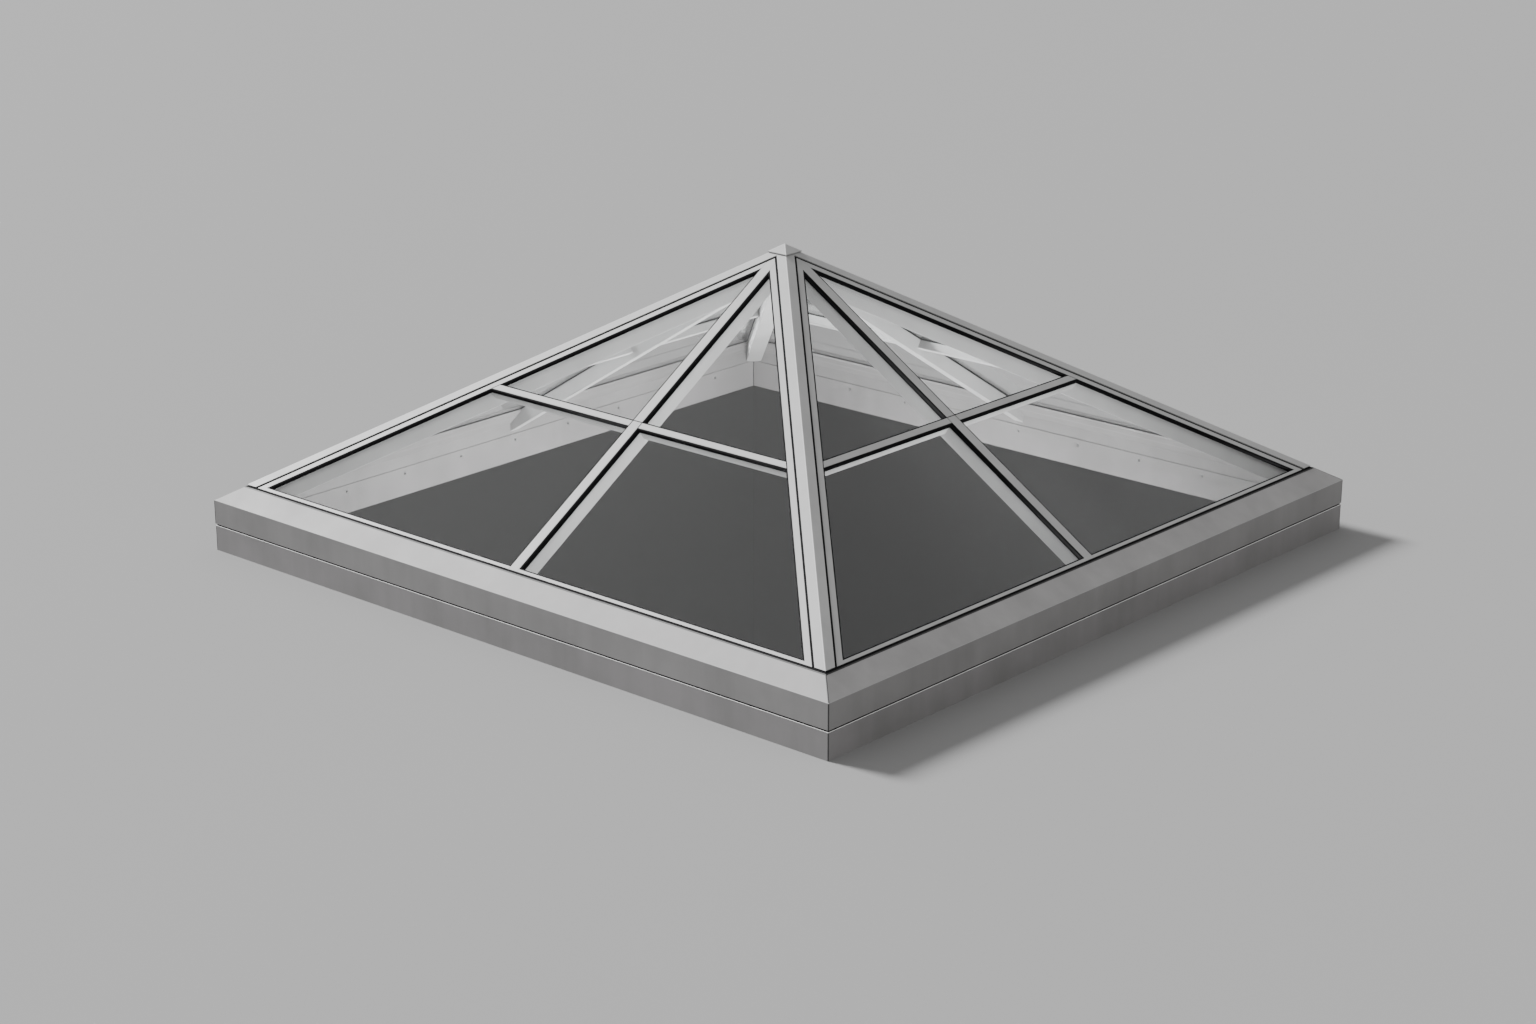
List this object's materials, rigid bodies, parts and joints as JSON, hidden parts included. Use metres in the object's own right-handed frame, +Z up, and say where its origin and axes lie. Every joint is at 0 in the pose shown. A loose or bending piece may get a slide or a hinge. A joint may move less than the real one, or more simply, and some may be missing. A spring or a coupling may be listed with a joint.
{
  "type": "pyramid roof skylight",
  "caption": "Square pyramid roof skylight: glazed faces between hip, rafter and purlin caps, on a mitred frame of a lower curb and an upper sloped sill.",
  "frame": {"origin": "middle of the square base, on the surface the curb stands on", "axes": "+Z up, X and Y along the sides of the square; the picture's near corner is at +X, -Y"},
  "size_m": [3, 3, 1.1433],
  "materials": {
    "coated_frame": "matt powder coat",
    "coated_caps": "matt powder coat",
    "coated_bars": "matt powder coat",
    "glass": "clear, lightly grey",
    "rubber": "matt black",
    "foam_tape": "matt black",
    "black_aluminium": "black anodised",
    "mill_aluminium": "mill",
    "block_plastic": "matt"
  },
  "bodies": {
    "root": {"apex_cap": "coated_caps", "apex_hub": "coated_bars", "corner_cleats": "mill_aluminium", "curb_back": "coated_frame", "curb_front": "coated_frame", "curb_left": "coated_frame", "curb_right": "coated_frame", "eaves_retainers": "coated_caps", "eaves_seal": "rubber", "glass_back_lower_left": "glass", "glass_back_lower_right": "glass", "glass_back_upper_left": "glass", "glass_back_upper_right": "glass", "glass_front_lower_left": "glass", "glass_front_lower_right": "glass", "glass_front_upper_left": "glass", "glass_front_upper_right": "glass", "glass_left_lower_left": "glass", "glass_left_lower_right": "glass", "glass_left_upper_left": "glass", "glass_left_upper_right": "glass", "glass_right_lower_left": "glass", "glass_right_lower_right": "glass", "glass_right_upper_left": "glass", "glass_right_upper_right": "glass", "groove_strips": "rubber", "hip_cap_back_left": "coated_caps", "hip_cap_back_right": "coated_caps", "hip_cap_front_left": "coated_caps", "hip_cap_front_right": "coated_caps", "hip_rafter_back_left": "coated_bars", "hip_rafter_back_right": "coated_bars", "hip_rafter_front_left": "coated_bars", "hip_rafter_front_right": "coated_bars", "hip_retainer_back_left": "coated_caps", "hip_retainer_back_right": "coated_caps", "hip_retainer_front_left": "coated_caps", "hip_retainer_front_right": "coated_caps", "inner_gaskets": "rubber", "mid_rafter_back": "coated_bars", "mid_rafter_front": "coated_bars", "mid_rafter_left": "coated_bars", "mid_rafter_right": "coated_bars", "outer_gaskets": "rubber", "pressure_plates": "black_aluminium", "purlin_caps": "coated_caps", "purlins_back": "coated_bars", "purlins_front": "coated_bars", "purlins_left": "coated_bars", "purlins_right": "coated_bars", "rafter_caps_lower": "coated_caps", "rafter_caps_upper": "coated_caps", "seam_tape": "foam_tape", "setting_blocks": "block_plastic", "sill_back": "coated_frame", "sill_front": "coated_frame", "sill_left": "coated_frame", "sill_right": "coated_frame"}
  },
  "joints": []
}
